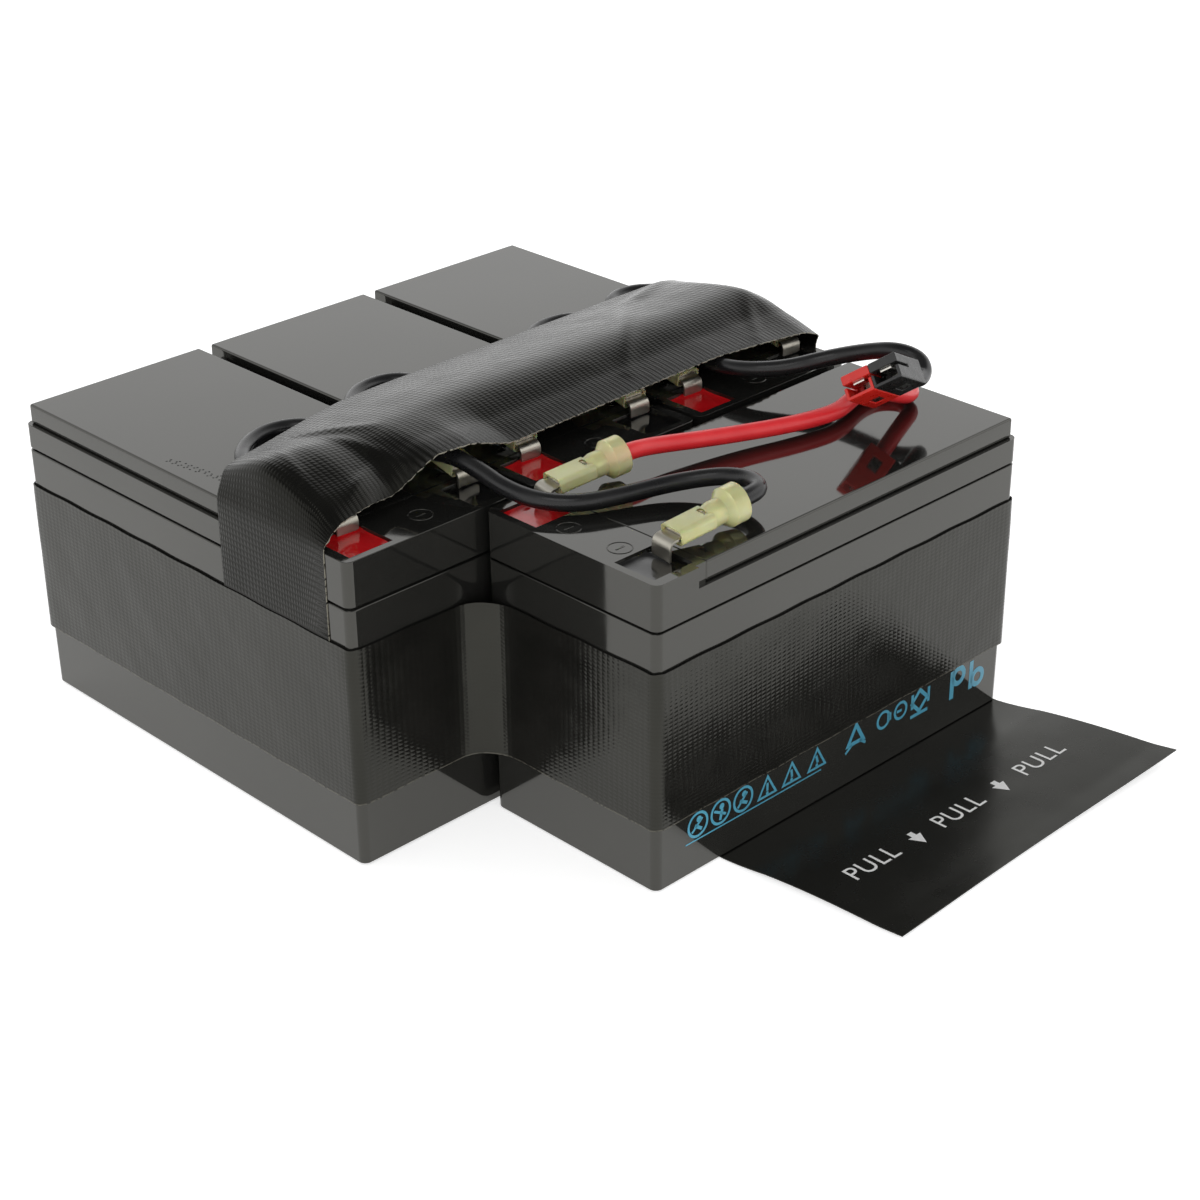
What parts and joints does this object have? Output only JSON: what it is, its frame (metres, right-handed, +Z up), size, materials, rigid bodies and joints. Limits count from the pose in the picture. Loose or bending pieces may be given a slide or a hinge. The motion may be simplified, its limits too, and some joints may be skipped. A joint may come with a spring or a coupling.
{
  "type": "battery pack",
  "caption": "Black sealed lead-acid batteries strapped together with woven tape, with jumper leads, a red and black plug pair and a pull sheet",
  "frame": {"origin": "on the floor, at the centre of the outline that the batteries make in plan", "axes": "+Z up; -Y is the front, where the pull sheet comes out; +X to the right, along the front battery towards its end without terminals"},
  "size_m": [0.2054, 0.2781, 0.1215],
  "materials": {
    "case_plastic": "smooth",
    "red_resin": "gloss",
    "black_resin": "gloss",
    "cap_rubber": "matte",
    "lead_dioxide": "matte",
    "spongy_lead": "matte",
    "glass_mat": "matte",
    "cast_lead": "matte",
    "tinned_brass": "satin",
    "silver_plate": "satin",
    "spring_steel": "satin",
    "woven_tape": "satin",
    "black_film": "satin",
    "adhesive": "matte",
    "red_insulation": "satin",
    "red_plastic": "satin",
    "black_plastic": "satin",
    "black_insulation": "satin",
    "natural_nylon": "satin"
  },
  "bodies": {
    "pack": {"band_tape": "woven_tape", "battery_1_case": "case_plastic", "battery_1_cell_straps": "cast_lead", "battery_1_lid": "case_plastic", "battery_1_negative_plates": "spongy_lead", "battery_1_negative_seal": "black_resin", "battery_1_positive_plates": "lead_dioxide", "battery_1_positive_seal": "red_resin", "battery_1_separators": "glass_mat", "battery_1_terminal_tabs": "tinned_brass", "battery_1_valve_caps": "cap_rubber", "battery_1_vent_cover": "case_plastic", "battery_2_case": "case_plastic", "battery_2_cell_straps": "cast_lead", "battery_2_lid": "case_plastic", "battery_2_negative_plates": "spongy_lead", "battery_2_negative_seal": "black_resin", "battery_2_positive_plates": "lead_dioxide", "battery_2_positive_seal": "red_resin", "battery_2_separators": "glass_mat", "battery_2_terminal_tabs": "tinned_brass", "battery_2_valve_caps": "cap_rubber", "battery_2_vent_cover": "case_plastic", "battery_3_case": "case_plastic", "battery_3_cell_straps": "cast_lead", "battery_3_lid": "case_plastic", "battery_3_negative_plates": "spongy_lead", "battery_3_negative_seal": "black_resin", "battery_3_positive_plates": "lead_dioxide", "battery_3_positive_seal": "red_resin", "battery_3_separators": "glass_mat", "battery_3_terminal_tabs": "tinned_brass", "battery_3_valve_caps": "cap_rubber", "battery_3_vent_cover": "case_plastic", "battery_4_case": "case_plastic", "battery_4_cell_straps": "cast_lead", "battery_4_lid": "case_plastic", "battery_4_negative_plates": "spongy_lead", "battery_4_negative_seal": "black_resin", "battery_4_positive_plates": "lead_dioxide", "battery_4_positive_seal": "red_resin", "battery_4_separators": "glass_mat", "battery_4_terminal_tabs": "tinned_brass", "battery_4_valve_caps": "cap_rubber", "battery_4_vent_cover": "case_plastic", "black_housing": "black_plastic", "black_lead": "black_insulation", "contact_springs": "spring_steel", "housing_contacts": "silver_plate", "jumper_1_2": "black_insulation", "jumper_2_3": "black_insulation", "jumper_4_1": "black_insulation", "pull_sheet": "black_film", "receptacle_sleeves": "natural_nylon", "receptacles": "tinned_brass", "red_housing": "red_plastic", "red_lead": "red_insulation", "sheet_adhesive": "adhesive", "terminal_tape": "woven_tape"},
    "flap": {"pull_flap": "black_film"}
  },
  "joints": [
    {"name": "pull_flap_fold", "type": "hinge", "parent": "pack", "child": "flap", "pos_m": [0.036, -0.1088, 0.0003], "axis": [-1, 0, 0], "range_deg": [0, 80]}
  ]
}
